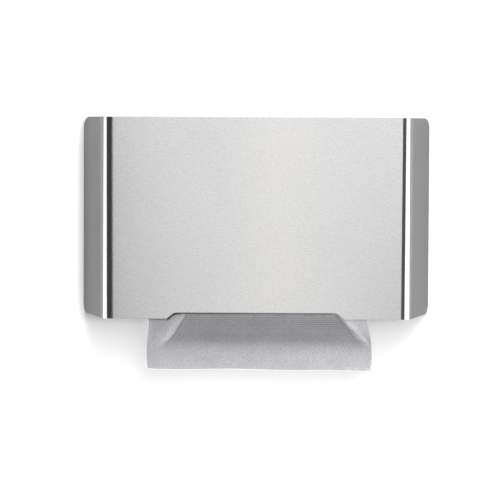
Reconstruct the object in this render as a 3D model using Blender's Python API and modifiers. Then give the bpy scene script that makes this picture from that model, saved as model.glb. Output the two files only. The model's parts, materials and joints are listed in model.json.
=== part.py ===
"""Wall-mounted dispenser for folded paper hand towels.

X runs to the right, Y into the wall and Z up, in metres. The origin is the middle of the flat back of the wall
plate, so the wall is the plane Y = 0 and the front faces -Y.

The wall plate carries two arms at its foot. The floor tray is screwed between the arms, and two hinge pins through
the arms carry the cover, whose upper edge swings forward and down. A cam lock in the top of the cover turns its cam
under a steel catch on the wall plate. A brushed steel sheet is wrapped round the front of the moulded cover.
"""

import math

import bmesh
import bpy
from mathutils import Matrix, Vector

# Cover, outer form
FRONT_Y = -0.1250
REAR_Y = -0.0010
TOP_Z = 0.0888
BOTTOM_Z = -0.0890
FLARE = math.radians(10.25)  # the sides splay outwards towards the wall
BEND_X = 0.1282  # half width of the flat front
BEND_R = 0.0081
BEND_Y = FRONT_Y + BEND_R
HALF_REAR = 0.1574
TOP_CORNER = (0.0062, 0.0092)
FOOT_CORNER = (0.0030, 0.0110)
DRAFT = 0.0065  # the front narrows downwards by this share
DRAFT_AT_WALL = 0.0020

# Sheet metal and moulding thicknesses
SHEET = 0.0008
GAP = 0.0003
WALL = 0.0025
FLANGE = 0.0110  # the sheet runs this far along each side
SHEET_TOP_Z = 0.0890

# Finger notch in the lower edge of the front
NOTCH_MID = -0.0007
NOTCH_FOOT = 0.0796
NOTCH_HEAD = 0.0725
NOTCH_RISE = 0.0055

# Hinge
HINGE_Y = -0.1140
HINGE_Z = -0.0790
PIN_R = 0.0025

# Wall plate, arms and tray
PLATE_X = 0.1500
PLATE_LOW = -0.0840
PLATE_HIGH = 0.0820
PLATE_T = 0.0030
RIM = 0.0090
ARM_IN = 0.1225
ARM_OUT = 0.1255
TRAY_LOW = -0.0835
TRAY_HIGH = -0.0810
TRAY_X = 0.1221

# Lock
LOCK_Y = -0.0300

# Towels
TOWEL_W = 0.2000
STACK_FRONT = -0.1105
STACK_REAR = -0.0055
STACK_LOW = -0.0800
STACK_HIGH = 0.0480
SHEET_T = 0.0004

for old in list(bpy.data.objects):
    bpy.data.objects.remove(old, do_unlink=True)

parts = bpy.data.collections.new("paper_towel_dispenser")
cutters = bpy.data.collections.new("cutters")
for made in (parts, cutters):
    bpy.context.scene.collection.children.link(made)


def material(name, colour, roughness, metallic=0.0):
    mat = bpy.data.materials.new(name)
    mat.use_nodes = True
    bsdf = mat.node_tree.nodes["Principled BSDF"]
    bsdf.inputs["Base Color"].default_value = (*colour, 1.0)
    bsdf.inputs["Roughness"].default_value = roughness
    bsdf.inputs["Metallic"].default_value = metallic
    return mat


GREY = (0.32, 0.32, 0.33)


# ---------------------------------------------------------------- helpers


def new_object(name, mesh, helper=False):
    obj = bpy.data.objects.new(name, mesh)
    (cutters if helper else parts).objects.link(obj)
    if helper:
        obj.hide_render = True
        obj.display_type = "WIRE"
    return obj


def box(name, low, high, helper=False):
    mesh = bpy.data.meshes.new(name)
    bm = bmesh.new()
    bmesh.ops.create_cube(bm, size=1.0)
    size = Vector(high) - Vector(low)
    mid = (Vector(high) + Vector(low)) / 2
    bmesh.ops.scale(bm, vec=size, verts=bm.verts)
    bmesh.ops.translate(bm, vec=mid, verts=bm.verts)
    bm.to_mesh(mesh)
    bm.free()
    return new_object(name, mesh, helper)


def cylinder(name, start, end, radius, sides=28, end_radius=None, helper=False):
    a, b = Vector(start), Vector(end)
    mesh = bpy.data.meshes.new(name)
    bm = bmesh.new()
    bmesh.ops.create_cone(
        bm,
        cap_ends=True,
        segments=sides,
        radius1=radius,
        radius2=radius if end_radius is None else end_radius,
        depth=(b - a).length,
    )
    turn = Vector((0, 0, 1)).rotation_difference(b - a).to_matrix().to_4x4()
    bmesh.ops.transform(
        bm, matrix=Matrix.Translation((a + b) / 2) @ turn, verts=bm.verts
    )
    bm.to_mesh(mesh)
    bm.free()
    return new_object(name, mesh, helper)


def applied(obj):
    """Replaces the object's mesh with the one its modifiers make."""
    bpy.context.view_layer.update()
    mesh = bpy.data.meshes.new_from_object(
        obj.evaluated_get(bpy.context.evaluated_depsgraph_get())
    )
    obj.modifiers.clear()
    obj.data = mesh
    return obj


def combine(obj, others, operation):
    for other in others:
        mod = obj.modifiers.new(operation.lower() + "_" + other.name, "BOOLEAN")
        mod.operation = operation
        mod.object = other
        mod.solver = "EXACT"
    return applied(obj)


def prism(name, outline, low, high, plane="XY", helper=False):
    """A flat outline filled and extruded from low to high along the third axis."""
    curve = bpy.data.curves.new(name, "CURVE")
    curve.dimensions = "2D"
    curve.fill_mode = "BOTH"
    curve.extrude = (high - low) / 2
    spline = curve.splines.new("POLY")
    spline.points.add(len(outline) - 1)
    for point, (u, v) in zip(spline.points, outline):
        point.co = (u, v, 0.0, 1.0)
    spline.use_cyclic_u = True
    flat = bpy.data.objects.new(name + "_outline", curve)
    cutters.objects.link(flat)
    shift = Matrix.Translation((0, 0, (high + low) / 2))
    turn = {
        "XY": Matrix.Identity(4),
        # u to X, v to Z, extruded along -Y
        "XZ": Matrix(((1, 0, 0, 0), (0, 0, -1, 0), (0, 1, 0, 0), (0, 0, 0, 1))),
        # u to Y, v to Z, extruded along X
        "YZ": Matrix(((0, 0, 1, 0), (1, 0, 0, 0), (0, 1, 0, 0), (0, 0, 0, 1))),
    }[plane]
    if plane == "XZ":
        shift = Matrix.Translation((0, 0, -(high + low) / 2))
    bpy.context.view_layer.update()
    mesh = bpy.data.meshes.new_from_object(
        flat.evaluated_get(bpy.context.evaluated_depsgraph_get())
    )
    mesh.transform(turn @ shift)
    bpy.data.objects.remove(flat, do_unlink=True)
    bpy.data.curves.remove(curve)
    bm = bmesh.new()
    bm.from_mesh(mesh)
    bmesh.ops.remove_doubles(bm, verts=bm.verts, dist=1e-6)
    bmesh.ops.dissolve_limit(
        bm, angle_limit=0.0002, verts=list(bm.verts), edges=list(bm.edges)
    )
    bmesh.ops.recalc_face_normals(bm, faces=bm.faces)
    bm.to_mesh(mesh)
    bm.free()
    return new_object(name, mesh, helper)


def turned(name, profile, sides=28, helper=False):
    """A solid of revolution about Z. The profile is (radius, height) pairs from the top centre down the outside."""
    mesh = bpy.data.meshes.new(name)
    bm = bmesh.new()
    verts = [bm.verts.new((r, 0.0, z)) for r, z in profile]
    for a, b in zip(verts, verts[1:]):
        bm.edges.new((a, b))
    bm.to_mesh(mesh)
    bm.free()
    obj = new_object(name, mesh, helper)
    mod = obj.modifiers.new("turn", "SCREW")
    mod.axis = "Z"
    mod.steps = sides
    mod.render_steps = sides
    mod.use_merge_vertices = True
    mod.merge_threshold = 0.00005
    mod.use_smooth_shade = True
    return applied(obj)


def rounded(points, radii, steps=5):
    """The polygon with each corner replaced by an arc of its own radius."""
    out = []
    n = len(points)
    for i, (p, r) in enumerate(zip(points, radii)):
        p = Vector(p)
        if r <= 0:
            out.append((p.x, p.y))
            continue
        a = (Vector(points[i - 1]) - p).normalized()
        b = (Vector(points[(i + 1) % n]) - p).normalized()
        half = a.angle(b) / 2
        centre = p + (a + b).normalized() * (r / math.sin(half))
        start = p + a * (r / math.tan(half)) - centre
        end = p + b * (r / math.tan(half)) - centre
        sweep = start.angle_signed(end)
        for k in range(steps + 1):
            turn = -sweep * k / steps
            c, s = math.cos(turn), math.sin(turn)
            out.append(
                (
                    centre.x + start.x * c - start.y * s,
                    centre.y + start.x * s + start.y * c,
                )
            )
    return out


def ring(radius, sides=20, mid=(0.0, 0.0), phase=0.0):
    return [
        (
            mid[0] + radius * math.cos(phase + math.tau * k / sides),
            mid[1] + radius * math.sin(phase + math.tau * k / sides),
        )
        for k in range(sides)
    ]


def mirrored(half):
    """A closed outline from its right half, which runs from the front to the rear."""
    return [(-x, y) for x, y in reversed(half) if x > 1e-9] + list(half)


def smooth(obj, degrees=32):
    obj.data.shade_smooth()
    obj.data.set_sharp_from_angle(angle=math.radians(degrees))


def draft(obj):
    """Narrows a piece of the cover downwards, most at the front."""
    for v in obj.data.vertices:
        front = min(max((v.co.y - REAR_Y) / (FRONT_Y - REAR_Y), 0.0), 1.0)
        share = DRAFT_AT_WALL + (DRAFT - DRAFT_AT_WALL) * front
        v.co.x *= 1 - share * (TOP_Z - v.co.z) / (TOP_Z - BOTTOM_Z)


def remove(*objs):
    for obj in objs:
        bpy.data.objects.remove(obj, do_unlink=True)


# ---------------------------------------------------------------- the cover's outline in plan


def bend_end(inset):
    return Vector(
        (
            BEND_X + (BEND_R - inset) * math.cos(FLARE),
            BEND_Y - (BEND_R - inset) * math.sin(FLARE),
        )
    )


def along_side(inset, run):
    return bend_end(inset) + run * Vector((math.sin(FLARE), math.cos(FLARE)))


def side_at(inset, y):
    start = bend_end(inset)
    return start + (y - start.y) / math.cos(FLARE) * Vector(
        (math.sin(FLARE), math.cos(FLARE))
    )


def bend(inset, steps=12):
    first, last = -math.pi / 2, -FLARE
    out = []
    for k in range(steps + 1):
        a = first + (last - first) * k / steps
        out.append(
            (
                BEND_X + (BEND_R - inset) * math.cos(a),
                BEND_Y + (BEND_R - inset) * math.sin(a),
            )
        )
    return out


def corner(cx, cz, a, b, first, last, steps=7):
    out = []
    for k in range(steps + 1):
        t = first + (last - first) * k / steps
        out.append((cx + a * math.cos(t), cz + b * math.sin(t)))
    return out


def front_outline(inset, low, high):
    """The cover seen from the front, with its rounded outer corners."""
    half = HALF_REAR + 0.00005 - inset
    ta, tb = TOP_CORNER[0] - inset * 0.5, TOP_CORNER[1] - inset * 0.5
    fa, fb = FOOT_CORNER[0], FOOT_CORNER[1]
    right = corner(half - fa, low + fb, fa, fb, -math.pi / 2, 0.0)
    right += corner(half - ta, high - tb, ta, tb, 0.0, math.pi / 2)
    return right + [(-x, z) for x, z in reversed(right)]


def notch_outline(grow):
    foot, head = NOTCH_FOOT + grow, NOTCH_HEAD + grow
    low, high = BOTTOM_Z - 0.00001, BOTTOM_Z + NOTCH_RISE + grow
    points = [
        (-foot - 0.012, low - 0.006),
        (foot + 0.012, low - 0.006),
        (foot + 0.012, low),
        (foot, low),
        (head, high),
        (-head, high),
        (-foot, low),
        (-foot - 0.012, low),
    ]
    radii = [0, 0, 0, 0.0020, 0.0048, 0.0048, 0.0020, 0]
    return [(x + NOTCH_MID, z) for x, z in rounded(points, radii)]


# ---------------------------------------------------------------- cover shell

under = SHEET + GAP
outer = list(bend(under))
outer += [tuple(along_side(under, FLANGE + GAP)), tuple(along_side(0.0, FLANGE + GAP))]
outer += [tuple(side_at(0.0, REAR_Y))]
inner_front = under + WALL
inner = list(bend(inner_front, 8))
inner += [tuple(side_at(inner_front, -0.1050)), tuple(side_at(WALL, -0.1025))]
inner += [tuple(side_at(WALL, 0.0020))]

cover_shell = prism("cover_shell", mirrored(outer), BOTTOM_Z, TOP_Z)
face = prism(
    "cover_face",
    front_outline(0.0, BOTTOM_Z, TOP_Z + 0.00001),
    -0.140,
    0.010,
    "XZ",
    helper=True,
)
combine(cover_shell, [face], "INTERSECT")
hollow = prism(
    "cover_hollow", mirrored(inner), BOTTOM_Z - 0.004, TOP_Z - WALL, helper=True
)
hollow_face = prism(
    "cover_hollow_face",
    front_outline(WALL, BOTTOM_Z - 0.004, TOP_Z - WALL + 0.00001),
    -0.140,
    0.010,
    "XZ",
    helper=True,
)
combine(hollow, [hollow_face], "INTERSECT")
combine(cover_shell, [hollow], "DIFFERENCE")
remove(face, hollow_face, hollow)

# Shallow pockets in the front for the adhesive strips under the steel.
TAPES = {"panel_tape_left": -0.0860, "panel_tape_mid": 0.0, "panel_tape_right": 0.0860}
pockets = [
    box(
        name + "_pocket",
        (x - 0.0128, FRONT_Y - 0.001, -0.0703),
        (x + 0.0128, FRONT_Y + 0.0020, 0.0703),
        helper=True,
    )
    for name, x in TAPES.items()
]
shell_notch = prism(
    "shell_notch", notch_outline(0.0009), -0.140, -0.1155, "XZ", helper=True
)
combine(cover_shell, pockets + [shell_notch], "DIFFERENCE")
remove(*pockets, shell_notch)
draft(cover_shell)

# Lock seat under the top, ribs, and the blind hinge sockets at the foot.
adds = [
    cylinder(
        "lock_seat",
        (0, LOCK_Y, 0.0833),
        (0, LOCK_Y, TOP_Z - WALL / 2),
        0.0150,
        36,
        helper=True,
    )
]
for side in (-1, 1):
    adds.append(
        box(
            f"top_rib_{side}",
            (side * 0.055 - 0.0008, -0.1224, 0.0790),
            (side * 0.055 + 0.0008, -0.0140, TOP_Z - WALL / 2),
            helper=True,
        )
    )
    adds.append(
        cylinder(
            f"hinge_socket_{side}",
            (side * 0.1272, HINGE_Y, HINGE_Z),
            (side * 0.1336, HINGE_Y, HINGE_Z),
            0.0050,
            24,
            helper=True,
        )
    )
combine(cover_shell, adds, "UNION")
remove(*adds)
cuts = [
    cylinder(
        "lock_hole", (0, LOCK_Y, 0.0800), (0, LOCK_Y, 0.0950), 0.0093, 36, helper=True
    ),
    cylinder(
        "lock_sink", (0, LOCK_Y, 0.0872), (0, LOCK_Y, 0.0950), 0.0113, 36, helper=True
    ),
]
for side in (-1, 1):
    cuts.append(
        cylinder(
            f"hinge_hole_{side}",
            (side * 0.1250, HINGE_Y, HINGE_Z),
            (side * 0.1319, HINGE_Y, HINGE_Z),
            PIN_R + GAP,
            24,
            helper=True,
        )
    )
combine(cover_shell, cuts, "DIFFERENCE")
remove(*cuts)
smooth(cover_shell)

# ---------------------------------------------------------------- steel front

half = list(bend(0.0, 16)) + [tuple(along_side(0.0, FLANGE))]
back = list(bend(SHEET, 16)) + [tuple(along_side(SHEET, FLANGE))]
loop = (
    [(-x, y) for x, y in reversed(half)]
    + half
    + list(reversed(back))
    + [(-x, y) for x, y in back]
)
front_panel = prism("front_panel", loop, BOTTOM_Z, SHEET_TOP_Z)
panel_notch = prism(
    "panel_notch", notch_outline(0.0), -0.140, -0.1155, "XZ", helper=True
)
combine(front_panel, [panel_notch], "DIFFERENCE")
remove(panel_notch)
draft(front_panel)
smooth(front_panel)

tapes = []
for name, x in TAPES.items():
    tape = box(
        name,
        (x - 0.0120, FRONT_Y + SHEET + GAP, -0.0695),
        (x + 0.0120, FRONT_Y + SHEET + GAP + 0.0006, 0.0695),
    )
    draft(tape)
    tapes.append(tape)

# ---------------------------------------------------------------- wall plate with its arms

plate_outline = rounded(
    [
        (-PLATE_X, PLATE_LOW),
        (PLATE_X, PLATE_LOW),
        (PLATE_X, PLATE_HIGH),
        (-PLATE_X, PLATE_HIGH),
    ],
    [0.004, 0.004, 0.010, 0.010],
)
dish_outline = rounded(
    [
        (-PLATE_X + 0.002, PLATE_LOW + 0.002),
        (PLATE_X - 0.002, PLATE_LOW + 0.002),
        (PLATE_X - 0.002, PLATE_HIGH - 0.002),
        (-PLATE_X + 0.002, PLATE_HIGH - 0.002),
    ],
    [0.002, 0.002, 0.008, 0.008],
)
wall_base = prism("wall_base", plate_outline, -RIM, 0.0, "XZ")
dish = prism("wall_dish", dish_outline, -0.020, -PLATE_T, "XZ", helper=True)
combine(wall_base, [dish], "DIFFERENCE")
remove(dish)

# The arm is a gusset with a round nose about the hinge axis.
nose = 0.0050
arm_outline = [(-0.0020, PLATE_LOW + 0.001), (-0.0020, -0.0250)]
arm_outline += [(-0.0300, -0.0320), (-0.0900, -0.0660)]
arm_outline += [
    (HINGE_Y + nose * math.cos(a), HINGE_Z + nose * math.sin(a))
    for a in [math.radians(65 + 205 * k / 12) for k in range(13)]
]
adds = []
for side in (-1, 1):
    low, high = sorted((side * ARM_IN, side * ARM_OUT))
    adds.append(prism(f"arm_{side}", arm_outline, low, high, "YZ", helper=True))
    for y0, y1 in ((-0.1000, -0.0900), (-0.0300, -0.0200)):
        low, high = sorted((side * 0.1120, side * (ARM_IN + 0.001)))
        adds.append(
            box(
                f"tray_lug_{side}_{y0}",
                (low, y0, TRAY_HIGH + GAP),
                (high, y1, -0.0745),
                helper=True,
            )
        )
GUIDE_SCREWS = [(s * 0.1100, z) for s in (-1, 1) for z in (-0.050, 0.010)]
CATCH_SCREWS = [(-0.0100, 0.0730), (0.0100, 0.0730)]
for x, z in GUIDE_SCREWS + CATCH_SCREWS:
    adds.append(
        cylinder(
            f"boss_{x}_{z}", (x, -0.0020, z), (x, -0.0080, z), 0.0045, 20, helper=True
        )
    )
for x in (-0.045, 0.045):
    adds.append(
        box(
            f"plate_rib_{x}",
            (x - 0.001, -0.0049, -0.070),
            (x + 0.001, -0.0020, 0.056),
            helper=True,
        )
    )
combine(wall_base, adds, "UNION")
remove(*adds)

cuts = []
for side in (-1, 1):
    cuts.append(
        cylinder(
            f"arm_hole_{side}",
            (side * 0.1200, HINGE_Y, HINGE_Z),
            (side * 0.1280, HINGE_Y, HINGE_Z),
            PIN_R + GAP,
            24,
            helper=True,
        )
    )
for x, z in GUIDE_SCREWS + CATCH_SCREWS:
    cuts.append(
        cylinder(
            f"boss_hole_{x}_{z}",
            (x, -0.0090, z),
            (x, -0.0016, z),
            0.0018,
            16,
            helper=True,
        )
    )
TRAY_SCREWS = [(s * 0.1170, y) for s in (-1, 1) for y in (-0.095, -0.025)]
for x, y in TRAY_SCREWS:
    cuts.append(
        cylinder(
            f"lug_hole_{x}_{y}",
            (x, y, TRAY_HIGH),
            (x, y, -0.0758),
            0.0018,
            16,
            helper=True,
        )
    )
# Two keyholes above the towels and two slots low down take the wall screws.
KEYHOLES = [(-0.080, 0.0620), (0.080, 0.0620)]
SLOTS = [(-0.080, -0.0600), (0.080, -0.0600)]
for x, z in KEYHOLES:
    key = [
        (x + 0.0050 * math.cos(a), z + 0.0050 * math.sin(a))
        for a in [math.radians(122 + 296 * k / 18) for k in range(19)]
    ]
    key += [
        (x + 0.0027 * math.cos(a), z + 0.0090 + 0.0027 * math.sin(a))
        for a in [math.radians(180 * k / 8) for k in range(9)]
    ]
    cuts.append(prism(f"keyhole_{x}", key, -0.010, 0.010, "XZ", helper=True))
for x, z in SLOTS:
    run = [
        (x + 0.0035 + 0.0027 * math.cos(a), z + 0.0027 * math.sin(a))
        for a in [math.radians(-90 + 180 * k / 8) for k in range(9)]
    ]
    run += [
        (x - 0.0035 + 0.0027 * math.cos(a), z + 0.0027 * math.sin(a))
        for a in [math.radians(90 + 180 * k / 8) for k in range(9)]
    ]
    cuts.append(prism(f"slot_{x}", run, -0.010, 0.010, "XZ", helper=True))
combine(wall_base, cuts, "DIFFERENCE")
remove(*cuts)
smooth(wall_base)

# ---------------------------------------------------------------- floor tray with the dispensing slot

tray_outline = rounded(
    [
        (-TRAY_X, -RIM - 0.0004),
        (-TRAY_X, -0.1060),
        (-0.1120, -0.1080),
        (-0.1120, -0.1164),
        (0.1120, -0.1164),
        (0.1120, -0.1080),
        (TRAY_X, -0.1060),
        (TRAY_X, -RIM - 0.0004),
    ],
    [0, 0.003, 0.001, 0.002, 0.002, 0.001, 0.003, 0],
    3,
)
towel_tray = prism("towel_tray", tray_outline, TRAY_LOW, TRAY_HIGH)
upstand = box("tray_upstand", (-0.1095, -0.1162, -0.0828), (0.1095, -0.1144, -0.0700))
combine(towel_tray, [upstand], "UNION")
remove(upstand)
# The opening is wide at both ends and narrow in the middle, where its lips hold the next towel.
mouth = rounded(
    [
        (-0.1060, -0.0720),
        (-0.0820, -0.0720),
        (-0.0660, -0.0600),
        (0.0660, -0.0600),
        (0.0820, -0.0720),
        (0.1060, -0.0720),
        (0.1060, -0.0380),
        (0.0820, -0.0380),
        (0.0660, -0.0450),
        (-0.0660, -0.0450),
        (-0.0820, -0.0380),
        (-0.1060, -0.0380),
    ],
    [0.004, 0.008, 0.008, 0.008, 0.008, 0.004] * 2,
    4,
)
cuts = [
    prism("tray_mouth", mouth, TRAY_LOW - 0.004, TRAY_HIGH + 0.004, "XY", helper=True)
]
for x, y in TRAY_SCREWS:
    cuts.append(
        cylinder(
            f"tray_hole_{x}_{y}",
            (x, y, TRAY_LOW - 0.002),
            (x, y, TRAY_HIGH + 0.002),
            0.0018,
            16,
            helper=True,
        )
    )
combine(towel_tray, cuts, "DIFFERENCE")
remove(*cuts)
smooth(towel_tray)

# ---------------------------------------------------------------- side guides and catch

guides = []
for side, name in ((-1, "paper_guide_left"), (1, "paper_guide_right")):
    plan = [
        (0.1170, -0.0083),
        (0.1025, -0.0083),
        (0.1025, -0.0960),
        (0.1060, -0.1040),
        (0.1070, -0.1036),
        (0.1035, -0.0956),
        (0.1035, -0.0093),
        (0.1170, -0.0093),
    ]
    guide = prism(name, [(side * x, y) for x, y in plan], -0.0700, 0.0300)
    holes = [
        cylinder(
            f"guide_hole_{x}_{z}",
            (x, -0.012, z),
            (x, -0.006, z),
            0.0018,
            16,
            helper=True,
        )
        for x, z in GUIDE_SCREWS
        if x * side > 0
    ]
    combine(guide, holes, "DIFFERENCE")
    remove(*holes)
    guides.append(guide)

catch_outline = [
    (-0.0083, 0.0795),
    (-0.0083, 0.0615),
    (-0.0200, 0.0615),
    (-0.0200, 0.0630),
    (-0.0098, 0.0630),
    (-0.0098, 0.0795),
]
catch_plate = prism("catch_plate", catch_outline, -0.0160, 0.0160, "YZ")
trims = [
    box("catch_trim_l", (-0.0200, -0.0300, 0.0600), (-0.0120, -0.0100, 0.0640), True),
    box("catch_trim_r", (0.0120, -0.0300, 0.0600), (0.0200, -0.0100, 0.0640), True),
]
trims += [
    cylinder(
        f"catch_hole_{x}", (x, -0.013, z), (x, -0.006, z), 0.0018, 16, helper=True
    )
    for x, z in CATCH_SCREWS
]
combine(catch_plate, trims, "DIFFERENCE")
remove(*trims)

# ---------------------------------------------------------------- screws, pins and clips


def pan_screw_mesh(name, head_r, head_h, shaft_r, length):
    """A pan-head screw: its head's seat is at Z = 0, its shaft runs down, and its head has a cross recess."""
    screw = turned(
        name,
        [
            (0.0, head_h),
            (head_r * 0.55, head_h),
            (head_r * 0.85, head_h * 0.72),
            (head_r, head_h * 0.35),
            (head_r, 0.0),
            (shaft_r, 0.0),
            (shaft_r, -length + 0.001),
            (0.0, -length),
        ],
        20,
    )
    arm, width = head_r * 0.50, head_r * 0.11
    cross = [
        box("recess_a", (-arm, -width, head_h * 0.45), (arm, width, head_h * 2), True),
        box("recess_b", (-width, -arm, head_h * 0.45), (width, arm, head_h * 2), True),
    ]
    combine(screw, cross, "DIFFERENCE")
    remove(*cross)
    smooth(screw, 40)
    mesh = screw.data
    remove(screw)
    return mesh


small_screw = pan_screw_mesh("pan_screw_small", 0.0035, 0.0022, 0.0015, 0.0055)
screws = {}
FORWARD = Matrix.Rotation(math.radians(90), 4, "X")  # the head faces -Y
DOWN = Matrix.Rotation(math.radians(180), 4, "X")  # the head faces down
for k, (x, z) in enumerate(GUIDE_SCREWS):
    screws[f"guide_screw_{k + 1}"] = Matrix.Translation((x, -0.0096, z)) @ FORWARD
for k, (x, z) in enumerate(CATCH_SCREWS):
    screws[f"catch_screw_{k + 1}"] = Matrix.Translation((x, -0.0101, z)) @ FORWARD
tray_screw = pan_screw_mesh("pan_screw_tray", 0.0035, 0.0020, 0.0015, 0.0070)
for k, (x, y) in enumerate(TRAY_SCREWS):
    screws[f"tray_screw_{k + 1}"] = Matrix.Translation((x, y, TRAY_LOW - GAP)) @ DOWN
screw_objects = []
for name, place in screws.items():
    obj = new_object(name, tray_screw if name.startswith("tray") else small_screw)
    obj.matrix_world = place
    screw_objects.append(obj)

pins = []
clips = []
for side, name in ((-1, "left"), (1, "right")):
    pin = turned(
        f"hinge_pin_{name}",
        [
            (0.0, 0.0036),
            (0.0034, 0.0036),
            (0.0040, 0.0030),
            (0.0040, 0.0020),
            (PIN_R, 0.0020),
            (PIN_R, -0.0060),
            (0.0019, -0.0060),
            (0.0019, -0.0070),
            (PIN_R, -0.0070),
            (PIN_R, -0.0110),
            (0.0020, -0.0116),
            (0.0, -0.0116),
        ],
        24,
    )
    smooth(pin, 40)
    pin.location = (side * 0.1200, HINGE_Y, HINGE_Z)
    pin.rotation_euler = (0.0, -side * math.pi / 2, 0.0)
    pins.append(pin)
    # The retaining clip is an open ring in the pin's groove, outside the arm.
    gap = math.radians(38)
    open_ring = [
        (0.0046 * math.cos(a), 0.0046 * math.sin(a))
        for a in [gap + (math.tau - 2 * gap) * k / 22 for k in range(23)]
    ]
    open_ring += [
        (0.0022 * math.cos(a), 0.0022 * math.sin(a))
        for a in [math.tau - gap - (math.tau - 2 * gap) * k / 22 for k in range(23)]
    ]
    low, high = sorted((side * 0.1261, side * 0.1269))
    clip = prism(
        f"pin_clip_{name}",
        [(HINGE_Y + u, HINGE_Z + v) for u, v in open_ring],
        low,
        high,
        "YZ",
    )
    clips.append(clip)

# ---------------------------------------------------------------- lock

lock_barrel = turned(
    "lock_barrel",
    [
        (0.0058, 0.0885),
        (0.0062, 0.0887),
        (0.0104, 0.0887),
        (0.0110, 0.0881),
        (0.0110, 0.0875),
        (0.0090, 0.0875),
        (0.0090, 0.0645),
        (0.0085, 0.0640),
        (0.0058, 0.0640),
        (0.0058, 0.0885),
    ],
    36,
)
smooth(lock_barrel, 40)
lock_barrel.location = (0.0, LOCK_Y, 0.0)

lock_nut = prism("lock_nut", ring(0.0135, 6, (0.0, LOCK_Y), math.pi / 6), 0.0785, 0.0830)
bore = cylinder(
    "nut_bore", (0, LOCK_Y, 0.0770), (0, LOCK_Y, 0.0850), 0.0093, 36, helper=True
)
combine(lock_nut, [bore], "DIFFERENCE")
remove(bore)
smooth(lock_nut)

lock_plug = cylinder(
    "lock_plug", (0, LOCK_Y, 0.0613), (0, LOCK_Y, 0.0883), 0.0055, 32
)
shank = box(
    "plug_shank", (-0.0035, LOCK_Y - 0.0035, 0.0592), (0.0035, LOCK_Y + 0.0035, 0.0620)
)
combine(lock_plug, [shank], "UNION")
key_slot = [
    box(
        "key_slot",
        (-0.0032, LOCK_Y - 0.0006, 0.0800),
        (0.0032, LOCK_Y + 0.0006, 0.0900),
        helper=True,
    ),
    cylinder(
        "plug_thread", (0, LOCK_Y, 0.0580), (0, LOCK_Y, 0.0720), 0.0018, 16, helper=True
    ),
]
combine(lock_plug, key_slot, "DIFFERENCE")
remove(shank, *key_slot)
smooth(lock_plug)

# The cam points along +X when the lock is open.
cam_outline = [
    (0.0085 * math.cos(a), LOCK_Y + 0.0085 * math.sin(a))
    for a in [math.radians(45 + 270 * k / 18) for k in range(19)]
]
cam_outline += [
    (0.0140 + 0.0060 * math.cos(a), LOCK_Y + 0.0060 * math.sin(a))
    for a in [math.radians(-90 + 180 * k / 10) for k in range(11)]
]
lock_cam = prism("lock_cam", cam_outline, 0.0590, 0.0610)
square = box(
    "cam_square",
    (-0.0038, LOCK_Y - 0.0038, 0.0570),
    (0.0038, LOCK_Y + 0.0038, 0.0630),
    helper=True,
)
combine(lock_cam, [square], "DIFFERENCE")
remove(square)
smooth(lock_cam)

cam_washer = prism("cam_washer", ring(0.0060, 24, (0.0, LOCK_Y)), 0.0577, 0.0587)
bore = cylinder(
    "washer_bore", (0, LOCK_Y, 0.0560), (0, LOCK_Y, 0.0600), 0.0018, 16, helper=True
)
combine(cam_washer, [bore], "DIFFERENCE")
remove(bore)
smooth(cam_washer)
cam_screw = new_object(
    "cam_screw", pan_screw_mesh("pan_screw_cam", 0.0038, 0.0024, 0.0015, 0.0100)
)
cam_screw.matrix_world = Matrix.Translation((0, LOCK_Y, 0.0574)) @ DOWN

# ---------------------------------------------------------------- towels

towel_stack = box(
    "towel_stack",
    (-TOWEL_W / 2, STACK_FRONT, STACK_LOW),
    (TOWEL_W / 2, STACK_REAR, STACK_HIGH),
)
mod = towel_stack.modifiers.new("soft_edges", "BEVEL")
mod.width = 0.003
mod.segments = 3
mod.limit_method = "ANGLE"
applied(towel_stack)
smooth(towel_stack)


def towel_path(x):
    """The line that the next towel follows at this X: along the floor, over the edge of the mouth and down."""
    edge = min(max((abs(x) - 0.066) / 0.016, 0.0), 1.0)
    edge = edge * edge * (3 - 2 * edge)
    drop_y = -0.0525 + (-0.0640 + 0.0525) * edge
    hang_y = -0.0660
    top_z = -0.0805
    points = [(-0.0980, top_z), (drop_y - 0.0060, top_z)]
    for k in range(1, 6):
        a = math.radians(90 * k / 5)
        points.append(
            (drop_y - 0.0045 + 0.0045 * math.sin(a), top_z - 0.0045 * (1 - math.cos(a)))
        )
    points.append((drop_y, -0.0880))
    points.append(((drop_y + hang_y) / 2, -0.0980))
    points.append((hang_y, -0.1080))
    points.append((hang_y - 0.0006, -0.1220))
    points.append((hang_y, -0.1360))
    return points


rows = len(towel_path(0.0))
columns = 20
mesh = bpy.data.meshes.new("hanging_towel")
bm = bmesh.new()
bmesh.ops.create_grid(bm, x_segments=columns, y_segments=rows - 1, size=0.5)
bm.verts.ensure_lookup_table()
for v in bm.verts:
    x = v.co.x * (TOWEL_W + 0.0010) + 0.0010
    row = round((v.co.y + 0.5) * (rows - 1))
    y, z = towel_path(x)[row]
    v.co = (x, y, z)
bm.to_mesh(mesh)
bm.free()
hanging_towel = new_object("hanging_towel", mesh)
mod = hanging_towel.modifiers.new("paper", "SOLIDIFY")
mod.thickness = SHEET_T
mod.offset = 0.0
applied(hanging_towel)
smooth(hanging_towel)

# ---------------------------------------------------------------- empties on the joint axes


def empty(name, place):
    obj = bpy.data.objects.new(name, None)
    obj.empty_display_size = 0.02
    obj.location = place
    parts.objects.link(obj)
    return obj


base = empty("base", (0.0, 0.0, 0.0))
cover_hinge = empty("cover_hinge", (0.0, HINGE_Y, HINGE_Z))
lock_turn = empty("lock_turn", (0.0, LOCK_Y, 0.0600))


def hold(holder, objs):
    bpy.context.view_layer.update()
    for obj in objs:
        world = obj.matrix_world.copy()
        obj.parent = holder
        obj.matrix_parent_inverse = Matrix.Identity(4)
        obj.matrix_basis = Matrix.Translation(-holder.location) @ world


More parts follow.
